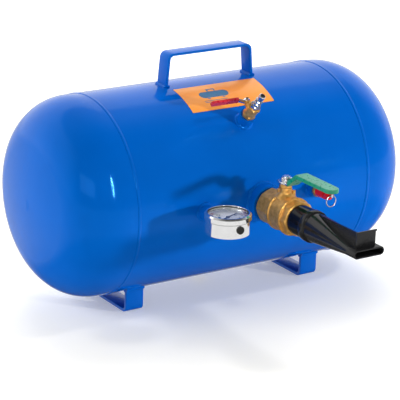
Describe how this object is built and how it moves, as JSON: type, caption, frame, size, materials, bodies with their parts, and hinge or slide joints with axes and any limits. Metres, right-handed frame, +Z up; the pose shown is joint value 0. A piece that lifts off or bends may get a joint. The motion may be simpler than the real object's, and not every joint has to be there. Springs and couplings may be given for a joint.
{
  "type": "air receiver tank",
  "caption": "Portable horizontal air receiver with carrying handle and feet, lever-operated dump valve with a flat nozzle, filling valve with quick plug, gauge and relief valve.",
  "frame": {"origin": "on the ground, under the middle of the whole object's box", "axes": "+X along the tank, from the gauge's side to the relief valve's; -Y towards the nozzle; +Z up"},
  "size_m": [0.6076, 0.5574, 0.371],
  "materials": {
    "tank_paint": "glossy blue enamel",
    "label_film": "printed orange film",
    "plated_steel": "zinc plated",
    "chrome_ball": "hard chromed",
    "chrome_nuts": "bright chromed",
    "brass": "forged, satin",
    "white_seal": "turned fluoropolymer",
    "black_nozzle": "gloss black enamel",
    "black_sleeve": "gloss black",
    "green_vinyl": "dipped vinyl, semi-gloss",
    "red_vinyl": "dipped vinyl, semi-gloss",
    "polished_case": "polished stainless",
    "gauge_glass": "clear",
    "gauge_face": "white dial with a plain scale",
    "pointer_black": "matt black",
    "black_rubber": "matt",
    "red_cap": "gloss red lacquer"
  },
  "bodies": {
    "tank": {"tank_shell": "tank_paint", "head_left": "tank_paint", "head_right": "tank_paint", "girth_welds": "tank_paint", "seam_weld": "tank_paint", "handle": "tank_paint", "handle_welds": "tank_paint", "foot_left": "tank_paint", "foot_right": "tank_paint", "foot_welds": "tank_paint", "label_plate": "label_film", "valve_bung": "tank_paint", "gauge_bung": "tank_paint", "relief_bung": "tank_paint", "fill_bung": "tank_paint", "drain_bung": "tank_paint", "bung_welds": "tank_paint", "drain_plug": "plated_steel", "outlet_nipple": "plated_steel", "main_valve_body": "brass", "main_valve_cap": "brass", "main_seats": "white_seal", "main_packing": "white_seal", "main_gland_nut": "brass", "nozzle_sleeve": "black_sleeve", "nozzle": "black_nozzle", "rim_stop": "black_nozzle", "gauge_case": "polished_case", "gauge_bezel": "polished_case", "gauge_lens": "gauge_glass", "gauge_dial": "gauge_face", "gauge_socket": "brass", "bourdon_tube": "brass", "gauge_movement": "brass", "gauge_plug": "black_rubber", "fill_valve_body": "brass", "fill_valve_cap": "brass", "fill_seats": "white_seal", "fill_packing": "white_seal", "fill_gland_nut": "brass", "quick_plug": "plated_steel", "relief_body": "brass", "relief_cap": "red_cap", "relief_spring": "plated_steel"},
    "main_lever_set": {"main_lever": "plated_steel", "main_lever_grip": "green_vinyl", "main_lever_nut": "chrome_nuts", "main_stem": "plated_steel", "main_ball": "chrome_ball"},
    "fill_lever_set": {"fill_lever": "plated_steel", "fill_lever_grip": "red_vinyl", "fill_lever_nut": "chrome_nuts", "fill_stem": "plated_steel", "fill_ball": "chrome_ball"},
    "gauge_quadrant": {"gauge_sector": "brass"},
    "gauge_needle": {"gauge_pointer": "pointer_black"},
    "relief_pull": {"relief_stem": "plated_steel", "relief_knob": "red_cap"},
    "pull_ring": {"relief_ring": "plated_steel"}
  },
  "joints": [
    {"name": "main_lever_turn", "type": "hinge", "parent": "tank", "child": "main_lever_set", "pos_m": [0.01, -0.0772, 0.221], "axis": [0, 0, 1], "range_deg": [-90, 0]},
    {"name": "fill_lever_turn", "type": "hinge", "parent": "tank", "child": "fill_lever_set", "pos_m": [0.003, 0.01854, 0.31244], "axis": [0, 0.7373, 0.6756], "range_deg": [0, 90]},
    {"name": "gauge_quadrant_turn", "type": "hinge", "parent": "tank", "child": "gauge_quadrant", "pos_m": [-0.092, -0.0948, 0.171], "axis": [0, 0, 1], "range_deg": [0, 27], "stiffness_Nm_per_rad": 0.002},
    {"name": "gauge_needle_turn", "type": "hinge", "parent": "tank", "child": "gauge_needle", "pos_m": [-0.092, -0.0812, 0.171], "axis": [0, 0, 1], "range_deg": [-270, 0]},
    {"name": "relief_pull_slide", "type": "slide", "parent": "tank", "child": "relief_pull", "axis": [0, -0.999, 0.0436], "range_m": [0, 0.0025], "stiffness_N_per_m": 600, "springref_m": -0.002, "deforming": ["relief_spring"]},
    {"name": "pull_ring_swing", "type": "hinge", "parent": "relief_pull", "child": "pull_ring", "pos_m": [0.098, -0.06981, 0.17963], "axis": [1, 0, 0], "range_deg": [-85, 5]}
  ],
  "couplings": [
    {"joint": "gauge_needle_turn", "follows": "gauge_quadrant_turn", "ratio": -10}
  ]
}
